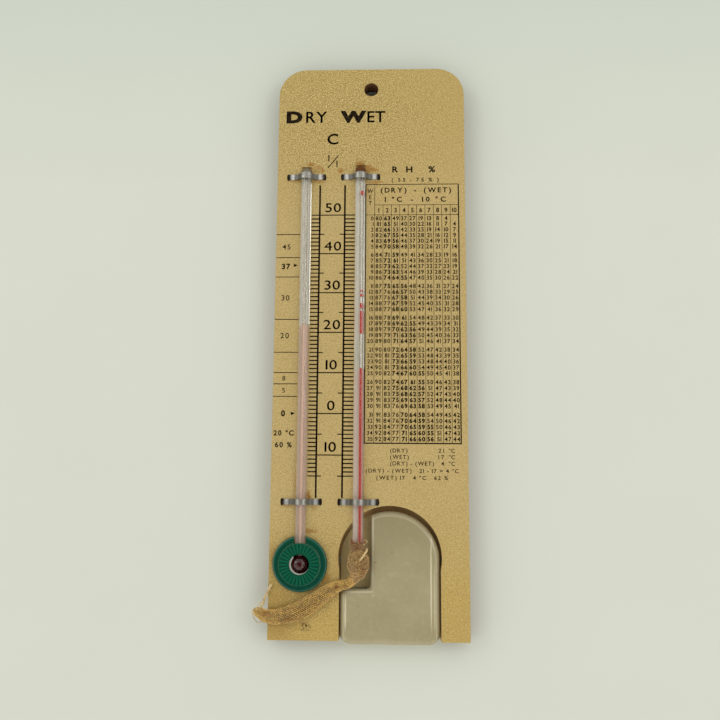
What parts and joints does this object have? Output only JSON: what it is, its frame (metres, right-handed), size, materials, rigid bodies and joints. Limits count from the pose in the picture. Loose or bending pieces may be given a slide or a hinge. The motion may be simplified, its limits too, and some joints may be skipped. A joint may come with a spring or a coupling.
{
  "type": "psychrometer",
  "caption": "Wall psychrometer: wet and dry bulb thermometers on a wooden board with a humidity table and a pull-out water tank that feeds the wick.",
  "frame": {"origin": "centre of the hanging hole at the board's flat back face, with the instrument lying on its back", "axes": "+X to the right across the board, from the dry bulb thermometer to the table, +Y up the board towards the hanging hole's end, +Z out of the printed face"},
  "size_m": [0.0876, 0.2416, 0.0129],
  "materials": {
    "board": "dark stained hardboard with sawn edges",
    "printed_face": "pebble-grained vinyl print, satin",
    "stem_glass": "drawn clear glass",
    "enamel": "white enamel strip in the glass",
    "spirit": "red dyed spirit",
    "clip_steel": "nickel-plated spring steel, worn, spots of rust",
    "guard_plastic": "moulded green polystyrene, glossy",
    "liner": "white card",
    "tank_plastic": "milky translucent polyethylene, aged",
    "wick_cotton": "knitted cotton, stained by water",
    "tie_thread": "rust-stained cotton thread"
  },
  "bodies": {
    "board": {"backboard": "board", "face_sheet": "printed_face", "dry_glass": "stem_glass", "dry_enamel": "enamel", "dry_spirit": "spirit", "wet_glass": "stem_glass", "wet_enamel": "enamel", "wet_spirit": "spirit", "dry_upper_clip": "clip_steel", "dry_lower_clip": "clip_steel", "wet_upper_clip": "clip_steel", "wet_lower_clip": "clip_steel", "bulb_guard": "guard_plastic", "bulb_liner": "liner", "wick_sleeve": "wick_cotton", "wick_tie": "tie_thread", "wick_tail": "wick_cotton", "wick_knot": "wick_cotton", "loose_threads": "wick_cotton"},
    "tank": {"tank_shell": "tank_plastic", "tank_back": "tank_plastic"}
  },
  "joints": [
    {"name": "tank_slide", "type": "slide", "parent": "board", "child": "tank", "axis": [0, -1, 0], "range_m": [-0.0015, 0.052]}
  ]
}
